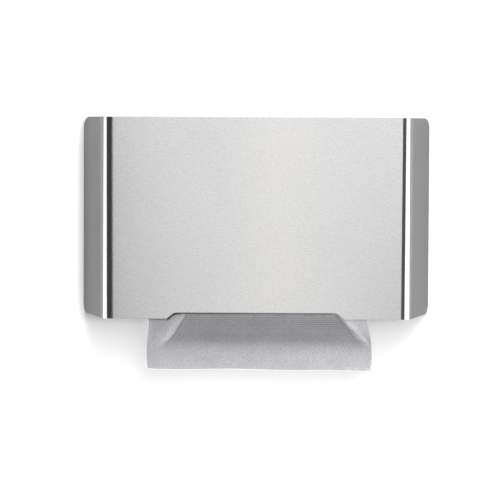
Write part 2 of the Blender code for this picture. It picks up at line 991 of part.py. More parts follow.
hold(
    base,
    [wall_base, towel_tray, catch_plate, towel_stack, hanging_towel]
    + guides
    + screw_objects
    + pins
    + clips,
)
hold(cover_hinge, [cover_shell, front_panel, lock_barrel, lock_nut] + tapes)
lock_turn.parent = cover_hinge
lock_turn.location = Vector((0.0, LOCK_Y, 0.0600)) - cover_hinge.location
bpy.context.view_layer.update()
for obj in (lock_plug, lock_cam, cam_washer, cam_screw):
    world = obj.matrix_world.copy()
    obj.parent = lock_turn
    obj.matrix_parent_inverse = Matrix.Identity(4)
    obj.matrix_basis = lock_turn.matrix_world.inverted() @ world

FINISHES = {
    "cover_shell": material("satin_grey_shell", GREY, 0.42),
    "front_panel": material("brushed_steel_sheet", (0.62, 0.61, 0.60), 0.32, 1.0),
    "wall_base": material("satin_grey_base", GREY, 0.50),
    "towel_tray": material("satin_grey_tray", GREY, 0.50),
    "paper_guide": material("zinc_guide", (0.55, 0.56, 0.57), 0.40, 1.0),
    "catch_plate": material("zinc_catch", (0.55, 0.56, 0.57), 0.38, 1.0),
    "hinge_pin": material("pin_steel", (0.60, 0.60, 0.61), 0.25, 1.0),
    "pin_clip": material("clip_steel", (0.30, 0.30, 0.32), 0.35, 1.0),
    "guide_screw": material("guide_screw_steel", (0.58, 0.58, 0.58), 0.32, 1.0),
    "catch_screw": material("catch_screw_steel", (0.58, 0.58, 0.58), 0.32, 1.0),
    "tray_screw": material("tray_screw_steel", (0.58, 0.58, 0.58), 0.32, 1.0),
    "panel_tape": material("foam_tape", (0.90, 0.90, 0.88), 0.80),
    "lock_barrel": material("lock_chrome", (0.75, 0.75, 0.76), 0.12, 1.0),
    "lock_nut": material("nut_zinc", (0.58, 0.58, 0.58), 0.30, 1.0),
    "lock_plug": material("plug_steel", (0.66, 0.66, 0.66), 0.22, 1.0),
    "lock_cam": material("cam_zinc", (0.56, 0.57, 0.58), 0.34, 1.0),
    "cam_washer": material("washer_zinc", (0.58, 0.58, 0.58), 0.32, 1.0),
    "cam_screw": material("cam_screw_steel", (0.58, 0.58, 0.58), 0.32, 1.0),
    "towel_stack": material("towel_paper_stack", (0.88, 0.88, 0.89), 0.95),
    "hanging_towel": material("towel_paper", (0.90, 0.90, 0.91), 0.95),
}
for obj in parts.objects:
    if obj.type != "MESH":
        continue
    mat = next(m for k, m in FINISHES.items() if obj.name.startswith(k))
    if not obj.data.materials:
        obj.data.materials.append(mat)
    obj.data.materials[0] = mat
bpy.context.view_layer.update()
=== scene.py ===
"""Looks for the wall-mounted paper towel dispenser: finishes, towels, studio and camera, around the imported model."""

import json
import math

import bmesh
import bpy
from mathutils import Matrix, Vector, noise


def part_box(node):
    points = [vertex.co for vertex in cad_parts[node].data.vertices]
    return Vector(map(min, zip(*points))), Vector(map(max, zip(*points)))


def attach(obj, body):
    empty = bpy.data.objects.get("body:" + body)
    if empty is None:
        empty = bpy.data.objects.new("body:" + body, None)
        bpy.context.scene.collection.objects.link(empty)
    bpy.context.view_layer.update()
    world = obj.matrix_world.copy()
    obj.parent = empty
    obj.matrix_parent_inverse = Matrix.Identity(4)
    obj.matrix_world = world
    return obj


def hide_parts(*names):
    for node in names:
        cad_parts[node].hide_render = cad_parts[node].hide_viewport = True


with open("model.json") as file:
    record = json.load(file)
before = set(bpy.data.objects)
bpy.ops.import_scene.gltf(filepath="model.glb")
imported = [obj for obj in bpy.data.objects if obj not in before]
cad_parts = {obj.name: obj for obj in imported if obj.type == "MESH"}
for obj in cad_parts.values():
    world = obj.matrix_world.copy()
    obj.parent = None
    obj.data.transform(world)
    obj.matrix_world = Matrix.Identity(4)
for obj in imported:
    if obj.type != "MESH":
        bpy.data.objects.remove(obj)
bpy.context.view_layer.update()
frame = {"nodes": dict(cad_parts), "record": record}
nodes = frame["nodes"]
BODY = {
    n: b for b, ns in frame["record"]["behaviour"]["bodies"].items() for n in ns
}

# ------------------------------------------------------------------ node helpers


class Tree:
    """Short calls for building a node material."""

    def __init__(self, name):
        self.mat = bpy.data.materials.new(name)
        self.mat.use_nodes = True
        self.t = self.mat.node_tree
        self.bsdf = self.t.nodes["Principled BSDF"]
        self.coords = self.t.nodes.new("ShaderNodeTexCoord")

    def new(self, kind, **values):
        node = self.t.nodes.new(kind)
        for key, value in values.items():
            setattr(node, key, value)
        return node

    def link(self, a, b):
        self.t.links.new(a, b)

    def mapped(self, scale, location=(0, 0, 0), rotation=(0, 0, 0)):
        node = self.new("ShaderNodeMapping")
        node.inputs["Scale"].default_value = scale
        node.inputs["Location"].default_value = location
        node.inputs["Rotation"].default_value = rotation
        self.link(self.coords.outputs["Object"], node.inputs["Vector"])
        return node.outputs["Vector"]

    def noise(self, vector, scale=1.0, detail=2.0, rough=0.5, distortion=0.0):
        node = self.new("ShaderNodeTexNoise")
        node.inputs["Scale"].default_value = scale
        node.inputs["Detail"].default_value = detail
        node.inputs["Roughness"].default_value = rough
        node.inputs["Distortion"].default_value = distortion
        self.link(vector, node.inputs["Vector"])
        return node.outputs["Fac"]

    def math(self, op, a, b=None, c=None, clamp=False):
        node = self.new("ShaderNodeMath", operation=op, use_clamp=clamp)
        for k, value in enumerate((a, b, c)):
            if value is None:
                continue
            if isinstance(value, (int, float)):
                node.inputs[k].default_value = value
            else:
                self.link(value, node.inputs[k])
        return node.outputs[0]

    def remap(self, value, low, high, to_low, to_high):
        node = self.new("ShaderNodeMapRange")
        node.inputs["From Min"].default_value = low
        node.inputs["From Max"].default_value = high
        node.inputs["To Min"].default_value = to_low
        node.inputs["To Max"].default_value = to_high
        self.link(value, node.inputs["Value"])
        return node.outputs["Result"]

    def ramp(self, value, stops):
        node = self.new("ShaderNodeValToRGB")
        node.color_ramp.elements[0].position = stops[0][0]
        node.color_ramp.elements[0].color = (*stops[0][1], 1)
        node.color_ramp.elements[1].position = stops[-1][0]
        node.color_ramp.elements[1].color = (*stops[-1][1], 1)
        for place, colour in stops[1:-1]:
            e = node.color_ramp.elements.new(place)
            e.color = (*colour, 1)
        self.link(value, node.inputs["Fac"])
        return node.outputs["Color"]

    def bump(self, height, strength, distance, normal=None):
        node = self.new("ShaderNodeBump")
        node.inputs["Strength"].default_value = strength
        node.inputs["Distance"].default_value = distance
        self.link(height, node.inputs["Height"])
        if normal is not None:
            self.link(normal, node.inputs["Normal"])
        return node.outputs["Normal"]

    def put(self, socket, value):
        if isinstance(value, (int, float, tuple)):
            self.bsdf.inputs[socket].default_value = value
        else:
            self.link(value, self.bsdf.inputs[socket])


def grey(v, warm=0.0):
    return (v * (1 + warm), v, v * (1 - warm))


# ------------------------------------------------------------------ materials


def brushed_sheet():
    """Stainless sheet with a fine horizontal brushed grain that runs round the bends."""
    m = Tree("brushed_stainless")
    fine = m.noise(m.mapped((540, 540, 2100)), 1.0, 2.0, 0.60)
    long = m.noise(m.mapped((60, 60, 2600), (3.1, 1.7, 0.4)), 1.0, 2.0, 0.5)
    cloud = m.noise(m.mapped((9, 9, 14), (0.3, 0.8, 2.0)), 1.0, 3.0, 0.55)
    grain = m.math("MULTIPLY_ADD", long, 0.12, m.math("MULTIPLY", fine, 0.88))
    tone = m.math("MULTIPLY_ADD", cloud, 0.10, m.math("MULTIPLY", grain, 0.90))
    bright = m.ramp(
        tone, [(0.32, (0.672, 0.668, 0.670)), (0.68, (0.808, 0.803, 0.806))]
    )
    # The return along each side is painted darker, less metallic and rougher: painted shade on the flange.
    place = m.new("ShaderNodeSeparateXYZ")
    m.link(m.coords.outputs["Object"], place.inputs[0])
    aside = m.math("ABSOLUTE", place.outputs[0])
    flange_shade = m.remap(aside, 0.13480, 0.13530, 0.0, 1.0)
    mix = m.new("ShaderNodeMix", data_type="RGBA")
    m.link(flange_shade, mix.inputs["Factor"])
    m.link(bright, mix.inputs[6])
    mix.inputs[7].default_value = (0.100, 0.097, 0.093, 1)
    # The lower cut edge is darkened and warmed where the towel hangs behind it: painted shade along the edge.
    edge_shade = m.new("ShaderNodeAttribute", attribute_name="edge_shade")
    warm = m.new("ShaderNodeMix", data_type="RGBA", blend_type="MULTIPLY")
    m.link(m.math("MULTIPLY", edge_shade.outputs["Fac"], 1.0, clamp=True), warm.inputs["Factor"])
    m.link(mix.outputs[2], warm.inputs[6])
    warm.inputs[7].default_value = (0.62, 0.50, 0.40, 1)
    m.put("Base Color", warm.outputs[2])
    m.put("Metallic", m.math("MULTIPLY_ADD", flange_shade, -0.9, 1.0))
    m.put(
        "Roughness",
        m.math("MULTIPLY_ADD", flange_shade, 0.35, m.remap(grain, 0.3, 0.7, 0.145, 0.175)),
    )
    m.put("Anisotropic", 0.9)
    upright = m.new("ShaderNodeCombineXYZ")
    upright.inputs[2].default_value = 1.0
    m.link(upright.outputs[0], m.bsdf.inputs["Tangent"])
    m.put("Normal", m.bump(grain, 0.12, 0.0001))
    return m.mat


def satin_plastic(name, tone, rough=0.46, tint=0.0):
    """Moulded ABS with a fine spark-eroded texture."""
    m = Tree(name)
    fine = m.noise(m.mapped((2600, 2600, 2600)), 1.0, 2.0, 0.5)
    cloud = m.noise(m.mapped((14, 14, 14)), 1.0, 3.0, 0.5)
    m.put(
        "Base Color",
        m.ramp(
            m.math("MULTIPLY_ADD", fine, 0.4, m.math("MULTIPLY", cloud, 0.6)),
            [(0.3, grey(tone * 0.97, tint)), (0.7, grey(tone * 1.03, tint))],
        ),
    )
    m.put("Roughness", m.remap(fine, 0.3, 0.7, rough - 0.05, rough + 0.05))
    m.put("Normal", m.bump(fine, 0.18, 0.00012))
    return m.mat


def plated(name, tone, rough, tint=(1, 1, 1), grain=(900, 900, 900)):
    """Metal with a light drawn or rolled grain and uneven polish."""
    m = Tree(name)
    fine = m.noise(m.mapped(grain), 1.0, 3.0, 0.55)
    cloud = m.noise(m.mapped((90, 90, 90)), 1.0, 2.0, 0.5)
    low = tuple(tone * 0.86 * c for c in tint)
    high = tuple(min(tone * 1.1 * c, 1) for c in tint)
    m.put("Base Color", m.ramp(cloud, [(0.3, low), (0.7, high)]))
    m.put("Metallic", 1.0)
    m.put("Roughness", m.remap(fine, 0.3, 0.7, rough * 0.8, rough * 1.25))
    m.put("Normal", m.bump(fine, 0.10, 0.00008))
    return m.mat


def foam():
    m = Tree("foam_tape")
    cells = m.new("ShaderNodeTexVoronoi")
    cells.inputs["Scale"].default_value = 1.0
    m.link(m.mapped((3000, 3000, 3000)), cells.inputs["Vector"])
    m.put(
        "Base Color",
        m.ramp(cells.outputs["Distance"], [(0.0, grey(0.70)), (0.8, grey(0.86))]),
    )
    m.put("Roughness", 0.85)
    m.put("Normal", m.bump(cells.outputs["Distance"], 0.3, 0.0001))
    return m.mat


def tissue(name, tone=0.70, zoned=False):
    """Two-ply tissue with small embossed dots. Where the sheet is gathered the dots close up into lines."""
    m = Tree(name)
    uv = m.new("ShaderNodeUVMap", uv_map="sheet")
    sep = m.new("ShaderNodeSeparateXYZ")
    m.link(uv.outputs["UV"], sep.inputs[0])
    u, v = sep.outputs[0], sep.outputs[1]

    def wave(along_u, along_v, pitch):
        turn = m.math(
            "MULTIPLY_ADD",
            u,
            along_u * math.tau / pitch,
            m.math("MULTIPLY", v, along_v * math.tau / pitch),
        )
        return m.math("MULTIPLY_ADD", m.math("SINE", turn), 0.5, 0.5)

    across = m.math("SINE", m.math("MULTIPLY", u, math.tau / 0.0029))
    along = m.math("SINE", m.math("MULTIPLY", v, math.tau / 0.0040))
    dots = m.math("MULTIPLY_ADD", m.math("MULTIPLY", across, along), 0.5, 0.5)
    if zoned:
        zone = m.new("ShaderNodeAttribute", attribute_name="zone")
        zones = m.new("ShaderNodeSeparateColor")
        m.link(zone.outputs["Color"], zones.inputs[0])
        for k, pattern in enumerate(
            (wave(0.80, 0.60, 0.00165), wave(0.80, -0.60, 0.00165), wave(0.0, 1.0, 0.0019))
        ):
            mix = m.new("ShaderNodeMix", data_type="FLOAT")
            m.link(zones.outputs[k], mix.inputs["Factor"])
            m.link(dots, mix.inputs["A"])
            m.link(pattern, mix.inputs["B"])
            dots = mix.outputs["Result"]
        crisp = m.new("ShaderNodeAttribute", attribute_name="crisp")
        dots = m.math(
            "MULTIPLY_ADD", m.math("SUBTRACT", dots, 0.5), crisp.outputs["Fac"], 0.5
        )
    fibre = m.noise(m.mapped((880, 880, 1000)), 1.0, 3.0, 0.70)
    crepe = m.noise(m.mapped((420, 420, 1500)), 1.0, 3.0, 0.6)
    soft = m.noise(m.mapped((60, 60, 60)), 1.0, 2.0, 0.5)
    level = m.math(
        "MULTIPLY_ADD",
        m.math("SUBTRACT", fibre, 0.5),
        1.05,
        m.math("MULTIPLY_ADD", dots, 0.38, m.math("MULTIPLY", soft, 0.20)),
    )
    base = m.ramp(
        level,
        [
            (0.04, (tone * 0.68, tone * 0.68, tone * 0.715)),
            (0.54, (tone * 1.22, tone * 1.22, tone * 1.275)),
        ],
    )
    if zoned:
        # Painted light on the hanging sheet: painted highlight on the folds, painted shade in the creases and on the
        # left half, a pale painted highlight along the edges, and a near-black painted shadow under the front's lower
        # edge.
        for name, colour, blend in (
            ("fold", (1.55, 1.55, 1.55, 1), "MULTIPLY"),
            ("crease", (0.74, 0.74, 0.75, 1), "MULTIPLY"),
            ("rim", (0.88, 0.88, 0.89, 1), "MIX"),
            ("tuck", (0.04, 0.038, 0.038, 1), "MIX"),
        ):
            place = m.new("ShaderNodeAttribute", attribute_name=name)
            mix = m.new("ShaderNodeMix", data_type="RGBA", blend_type=blend)
            m.link(place.outputs["Fac"], mix.inputs["Factor"])
            m.link(base, mix.inputs[6])
            mix.inputs[7].default_value = colour
            base = mix.outputs[2]
        # A painted glow: emission along the sheet's edges, at the hem's specks and on the right flap's fold stands in
        # for light catching the thin sheet.
        glint = m.new("ShaderNodeAttribute", attribute_name="glint")
        m.put("Emission Color", (0.95, 0.95, 0.97, 1))
        m.put("Emission Strength", m.math("MULTIPLY", glint.outputs["Fac"], 0.30))
    m.put("Base Color", base)
    m.put("Roughness", 0.95)
    m.put("Specular IOR Level", 0.12)
    height = m.math(
        "MULTIPLY_ADD",
        dots,
        0.6,
        m.math("MULTIPLY_ADD", fibre, 0.25, m.math("MULTIPLY", crepe, 0.15)),
    )
    m.put("Normal", m.bump(height, 0.6, 0.00035))
    return m.mat


STEEL = brushed_sheet()
SHELL = satin_plastic("satin_grey_cover", 0.078, 0.50)
BASE = satin_plastic("satin_grey_base", 0.200, 0.52)
ZINC = plated("zinc_plated_sheet", 0.62, 0.34, (0.98, 1.0, 1.03), (60, 60, 1600))
PIN = plated("ground_pin", 0.66, 0.22, (1, 1, 1), (1800, 60, 60))
CLIP = plated("black_spring_steel", 0.10, 0.36)
SCREW = plated("bright_screw", 0.64, 0.26)
CHROME = plated("lock_nickel", 0.50, 0.20, (1.0, 0.985, 0.96))
PLUG = plated("lock_plug_steel", 0.60, 0.28, (1.0, 0.98, 0.94))
FOAM = foam()
PAPER = tissue("towel_tissue", 0.62)
# The hanging sheet is given a darker tone than the pack of the same paper: painted shade.
NEXT_PAPER = tissue("next_towel_tissue", 0.555, True)

FINISH = {
    "cover_shell": SHELL,
    "front_panel": STEEL,
    "wall_base": BASE,
    "towel_tray": BASE,
    "paper_guide": ZINC,
    "catch_plate": ZINC,
    "hinge_pin": PIN,
    "pin_clip": CLIP,
    "guide_screw": SCREW,
    "catch_screw": SCREW,
    "tray_screw": SCREW,
    "cam_screw": SCREW,
    "cam_washer": SCREW,
    "panel_tape": FOAM,
    "lock_barrel": CHROME,
    "lock_nut": ZINC,
    "lock_plug": PLUG,
    "lock_cam": ZINC,
    "towel_stack": PAPER,
    "hanging_towel": PAPER,
}
for name, obj in nodes.items():
    mat = next(m for key, m in FINISH.items() if name.startswith(key))
    obj.data.materials.clear()
    obj.data.materials.append(mat)


# ------------------------------------------------------------------ finer copies of the rigid pieces


def ease(a, b, x):
    t = min(max((x - a) / (b - a), 0.0), 1.0)
    return t * t * (3 - 2 * t)


def refined(node, width, segments=2, sharp=30.0):
    """The same solid with its edges broken by a small radius and its round faces shaded smooth."""
    source = nodes[node]
    bm = bmesh.new()
    bm.from_mesh(source.data)
    bmesh.ops.remove_doubles(bm, verts=bm.verts, dist=2e-6)
    bmesh.ops.dissolve_limit(
        bm,
        angle_limit=math.radians(0.25),
        verts=list(bm.verts),
        edges=list(bm.edges),
    )
    bmesh.ops.recalc_face_normals(bm, faces=bm.faces)
    if width:
        edges = [
            e
            for e in bm.edges
            if len(e.link_faces) == 2
            and e.calc_face_angle(0.0) > math.radians(sharp)
        ]
        bmesh.ops.bevel(
            bm,
            geom=edges,
            offset=width,
            offset_type="OFFSET",
            segments=segments,
            profile=0.5,
            affect="EDGES",
            clamp_overlap=True,
        )
    mesh = bpy.data.meshes.new(node + "_fine")
    bm.to_mesh(mesh)
    bm.free()
    mesh.shade_smooth()
    mesh.set_sharp_from_angle(angle=math.radians(50))
    mesh.materials.append(source.data.materials[0])
    obj = bpy.data.objects.new(node + "_fine", mesh)
    bpy.context.scene.collection.objects.link(obj)
    mod = obj.modifiers.new("normals", "WEIGHTED_NORMAL")
    mod.keep_sharp = True
    mod.weight = 100
    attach(obj, BODY[node])
    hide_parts(node)
    return obj


EDGE = {
    "cover_shell": 0.0004,
    "front_panel": 0.00018,
    "wall_base": 0.0003,
    "towel_tray": 0.0003,
    "paper_guide": 0.0002,
    "catch_plate": 0.0002,
    "hinge_pin": 0.00015,
    "pin_clip": 0.00012,
    "guide_screw": 0.0001,
    "catch_screw": 0.0001,
    "tray_screw": 0.0001,
    "cam_screw": 0.0001,
    "cam_washer": 0.0001,
    "panel_tape": 0.0001,
    "lock_barrel": 0.0002,
    "lock_nut": 0.0003,
    "lock_plug": 0.0002,
    "lock_cam": 0.0002,
}
for name in sorted(nodes):
    if name in ("towel_stack", "hanging_towel", "front_panel"):
        continue
    refined(name, next(w for key, w in EDGE.items() if name.startswith(key)))


# ------------------------------------------------------------------ the steel front

FLARE = math.radians(10.25)
BEND_X, BEND_R, FRONT = 0.1282, 0.0081, -0.1250
SHEET, SHEET_LOW, SHEET_TOP = 0.0008, -0.0890, 0.0890


def arc_between(p, start, end, radius):
    """Points of the arc that rounds the corner at p between its neighbours."""
    a, b = (start - p).normalized(), (end - p).normalized()
    half = a.angle(b) / 2
    centre = p + (a + b).normalized() * (radius / math.sin(half))
    first = p + a * (radius / math.tan(half)) - centre
    last = p + b * (radius / math.tan(half)) - centre
    sweep = first.angle_signed(last)
    out = []
    for k in range(13):
        t = -sweep * k / 12
        c, s = math.cos(t), math.sin(t)
        out.append(centre + Vector((first.x * c - first.y * s, first.x * s + first.y * c)))
    return out


def notch_line():
    """The lower edge of the flat front from left to right, as (x, z)."""
    rise = 0.0055
    points = [
        Vector((-BEND_X, SHEET_LOW)),
        Vector((-0.0794, SHEET_LOW)),
        Vector((-0.0727, SHEET_LOW + rise)),
        Vector((0.0715, SHEET_LOW + rise)),
        Vector((0.0785, SHEET_LOW)),
        Vector((BEND_X, SHEET_LOW)),
    ]
    line = [points[0]]
    for i, r in ((1, 0.0020), (2, 0.0085), (3, 0.0085), (4, 0.0020)):
        line += arc_between(points[i], points[i - 1], points[i + 1], r)
    return line + [points[-1]]


def steel_front():
    stations = []  # (x, y, normal x, normal y, lower edge)
    for p in notch_line():
        stations.append((p.x, FRONT, 0.0, -1.0, p.y))
    bend = []
    steps = 48
    for k in range(1, steps + 1):
        a = -math.pi / 2 + (math.pi / 2 - FLARE) * k / steps
        c, s = math.cos(a), math.sin(a)
        bend.append((BEND_X + BEND_R * c, FRONT + BEND_R + BEND_R * s, c, s, SHEET_LOW))
    x, y, c, s, z = bend[-1]
    for run in (0.0055, 0.0110):
        bend.append((x - run * s, y + run * c, c, s, z))
    stations += bend
    stations = [(-x, y, -c, s, z) for x, y, c, s, z in reversed(bend)] + stations
    r = 0.00022
    bm = bmesh.new()
    loops = []
    edge_shades = []
    for x, y, nx, ny, low in stations:
        ring = []
        rounds = [(1 - math.sin(t), 1 - math.cos(t)) for t in (0, math.pi / 6, math.pi / 3, math.pi / 2)]
        for inset, up in rounds:  # from the lower edge's middle out to the face
            ring.append((r * inset, low + r * up))
        ring.append((0.0, low + 0.0007))
        for inset, up in reversed(rounds):
            ring.append((r * inset, SHEET_TOP - r * up))
        for inset, up in rounds:
            ring.append((SHEET - r * inset, SHEET_TOP - r * up))
        for inset, up in reversed(rounds):
            ring.append((SHEET - r * inset, low + r * up))
        loop = []
        for inset, z in ring:
            px, py = x - inset * nx, y - inset * ny
            ahead = min(max((py + 0.0010) / (FRONT + 0.0010), 0.0), 1.0)
            share = 0.0020 + 0.0045 * ahead
            px *= 1 - share * (0.0888 - z) / 0.1778
            loop.append(bm.verts.new((px, py, z)))
            # Mask for the painted shade on the lower edge, only where the towel hangs behind.
            near_towel = ease(-0.1020, -0.0930, x) * (1 - ease(0.060, 0.105, x))
            edge_shades.append(near_towel if z < low + 0.0003 else 0.0)
        loops.append(loop)
    n = len(loops[0])
    for a, b in zip(loops, loops[1:]):
        for k in range(n):
            bm.faces.new((a[k], b[k], b[(k + 1) % n], a[(k + 1) % n]))
    bm.faces.new(list(reversed(loops[0])))
    bm.faces.new(loops[-1])
    bmesh.ops.recalc_face_normals(bm, faces=bm.faces)
    mesh = bpy.data.meshes.new("steel_front")
    bm.to_mesh(mesh)
    bm.free()
    layer = mesh.attributes.new("edge_shade", "FLOAT", "POINT")
    layer.data.foreach_set("value", edge_shades)
    mesh.shade_smooth()
    mesh.set_sharp_from_angle(angle=math.radians(50))
    mesh.materials.append(STEEL)
    obj = bpy.data.objects.new("steel_front", mesh)
    bpy.context.scene.collection.objects.link(obj)
    mod = obj.modifiers.new("normals", "WEIGHTED_NORMAL")
    mod.keep_sharp = True
    mod.weight = 100
    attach(obj, "cover")
    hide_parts("front_panel")
    return obj


steel_front()

# ------------------------------------------------------------------ the pack of towels


def stack_of_towels():
    """The pack: every folded towel shows as a thin rounded layer on its four sides."""
    low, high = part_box("towel_stack")
    low, high = Vector(low), Vector(high)
    layers = 58
    step = (high.z - low.z) / layers
    per_side = {"x": 26, "y": 14}
    ring = []
    w, d = high.x - low.x, high.y - low.y
    mid = (low + high) / 2
    inset = 0.0012
    for k in range(per_side["x"] * 2):
        ring.append((-w / 2 + w * (k + 0.5) / (per_side["x"] * 2), -d / 2))
    for k in range(per_side["y"] * 2):
        ring.append((w / 2, -d / 2 + d * (k + 0.5) / (per_side["y"] * 2)))
    for k in range(per_side["x"] * 2):
        ring.append((w / 2 - w * (k + 0.5) / (per_side["x"] * 2), d / 2))
    for k in range(per_side["y"] * 2):
        ring.append((-w / 2, d / 2 - d * (k + 0.5) / (per_side["y"] * 2)))
    bm = bmesh.new()
    loops = []
    for layer in range(layers):
        for part, bulge in ((0.06, 0.0), (0.5, 1.0), (0.94, 0.0)):
            z = low.z + (layer + part) * step
            loop = []
            shift = 0.0007 * (noise.noise(Vector((layer * 0.61, 0.3, 5.1))) )
            for x, y in ring:
                wob = noise.noise(Vector((x * 22, y * 22, layer * 0.37)))
                out = inset - 0.0009 * bulge + 0.0004 * wob
                sx = x - math.copysign(out, x) if abs(abs(x) - w / 2) < 1e-6 else x
                sy = y - math.copysign(out, y) if abs(abs(y) - d / 2) < 1e-6 else y
                sx = max(-w / 2 + 0.0001, min(w / 2 - 0.0001, sx + shift))
                sy = max(-d / 2 + 0.0001, min(d / 2 - 0.0001, sy + shift))
                wave = 0.00030 * noise.noise(Vector((x * 9, y * 9, layer * 0.21)))
                zz = min(max(z + wave, low.z + 0.0001), high.z - 0.0001)
                loop.append(bm.verts.new((mid.x + sx, mid.y + sy, zz)))
            loops.append(loop)
    n = len(ring)
    for a, b in zip(loops, loops[1:]):
        for k in range(n):
            bm.faces.new((a[k], a[(k + 1) % n], b[(k + 1) % n], b[k]))
    bm.faces.new(loops[-1])
    bm.faces.new(list(reversed(loops[0])))
    bmesh.ops.triangulate(bm, faces=[f for f in bm.faces if len(f.verts) > 4])
    bmesh.ops.recalc_face_normals(bm, faces=bm.faces)
    uv = bm.loops.layers.uv.new("sheet")
    for f in bm.faces:
        nrm = f.normal
        for l in f.loops:
            co = l.vert.co
            if abs(nrm.z) > 0.8:
                l[uv].uv = (co.x, co.y)
            elif abs(nrm.x) > abs(nrm.y):
                l[uv].uv = (co.y, co.z)
            else:
                l[uv].uv = (co.x, co.z)
    mesh = bpy.data.meshes.new("towel_pack")
    bm.to_mesh(mesh)
    bm.free()
    mesh.shade_smooth()
    mesh.set_sharp_from_angle(angle=math.radians(48))
    mesh.materials.append(PAPER)
    obj = bpy.data.objects.new("towel_pack", mesh)
    bpy.context.scene.collection.objects.link(obj)
    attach(obj, "base")
    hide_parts("towel_stack")
    return obj


stack_of_towels()

# ------------------------------------------------------------------ the hanging towel

THICK = 0.00035
HEM = -0.1374
TURN_Z = -0.0850  # where the sheet has come through the mouth


def through(points, x):
    """The value at x on the line through the points, which run upwards in x."""
    if x <= points[0][0]:
        return points[0][1]
    for (x0, y0), (x1, y1) in zip(points, points[1:]):
        if x <= x1:
            return y0 + (y1 - y0) * (x - x0) / (x1 - x0)
    return points[-1][1]


def ramp_up(a, b, x):
    """A straight slope from 0 at a to 1 at b, with its two corners eased a little."""
    t = min(max((x - a) / (b - a), 0.0), 1.0)
    return t + 0.35 * (t * t * (3 - 2 * t) - t)


def down(z):
    return -z


# The two creases that spread from the ends of the notch, and the side edges, as (depth below, x).
CREASE_LEFT = [(0.0805, 0.0600), (0.0908, 0.0641), (0.0961, 0.0677), (0.1015, 0.0709), (0.1069, 0.0742), (0.1123, 0.0795), (0.1176, 0.0848)]
CREASE_RIGHT = [(0.0805, 0.0655), (0.0908, 0.0739), (0.0961, 0.0785), (0.1015, 0.0834), (0.1069, 0.0868), (0.1123, 0.0918), (0.1176, 0.0960)]
EDGE_LEFT = [(0.0805, -0.0962), (0.0927, -0.0968), (0.1090, -0.0980), (0.1200, -0.0988), (0.1300, -0.0987), (0.1352, -0.0980)]
EDGE_RIGHT = [(0.0805, 0.0988), (0.0936, 0.1006), (0.1050, 0.1026), (0.1115, 0.1036), (0.1250, 0.1047), (0.1352, 0.1038)]


def hang_depth(x, z):
    """How far forward the sheet hangs at this place below the mouth."""
    d = down(z)
    t = ease(0.0900, 0.1200, d)
    middle = -0.0548 - 0.0100 * t
    middle -= 0.0004 * math.sin(math.pi * min(max((d - 0.0850) / 0.0240, 0.0), 1.0)) * ease(0.070, 0.0, abs(x))
    fade = 1 - ease(0.1040, 0.1230, d)
    if x < 0:
        c = through(CREASE_LEFT, d)
        wide = 0.0070 - 0.0020 * ease(0.088, 0.110, d)
        out = ramp_up(c, c + wide, -x)
        flap = -0.0655 - 0.0010 * ease(c + 0.004, c + 0.010, -x) + 0.0040 * ease(c + 0.012, 0.100, -x)
    else:
        c = through(CREASE_RIGHT, d)
        out = ramp_up(c - 0.0004, c + 0.0035 + 0.0055 * ease(0.098, 0.110, d), x)
        flap = -0.0665 - 0.0012 * ease(c + 0.002, c + 0.008, x) + 0.0060 * ease(c + 0.009, 0.103, x)
    low = -0.0655
    flap = low + (flap - low) * (0.35 + 0.65 * fade)
    y = middle + (flap - middle) * out * fade + (1 - fade) * (low - middle) * 1.0
    if fade < 1:
        y = y * 1.0
    # The lower part bows forward a little and its hem turns back.
    y -= 0.0012 * math.sin(math.pi * min(max((d - 0.1100) / 0.0260, 0.0), 1.0))
    return y


def tucked(p, line):
    """How much of the light the front's lower edge takes from the sheet close behind it."""
    eye = Vector((-0.0056, -3.625, 0.0890))
    q = eye + (p - eye) * ((FRONT - eye.y) / (p.y - eye.y))
    gap = min(
        (Vector((q.x, q.z)) - a.lerp(b, min(max((Vector((q.x, q.z)) - a).dot(b - a) / (b - a).length_squared, 0), 1))).length
        for a, b in zip(line, line[1:])
    )
    share = through(
        [
            (-0.0790, 0.42),
            (-0.0780, 0.95),
            (-0.0722, 0.95),
            (-0.0700, 0.35),
            (-0.0660, 0.30),
            (-0.0600, 0.45),
            (-0.0050, 0.18),
            (0.0400, 0.08),
            (0.0700, 0.08),
            (0.0720, 0.18),
        ],
        q.x,
    )
    wide = 0.0004 * ease(0.6, 0.9, share)
    return share * (1 - ease(0.0008 + wide, 0.0017 + wide, gap))


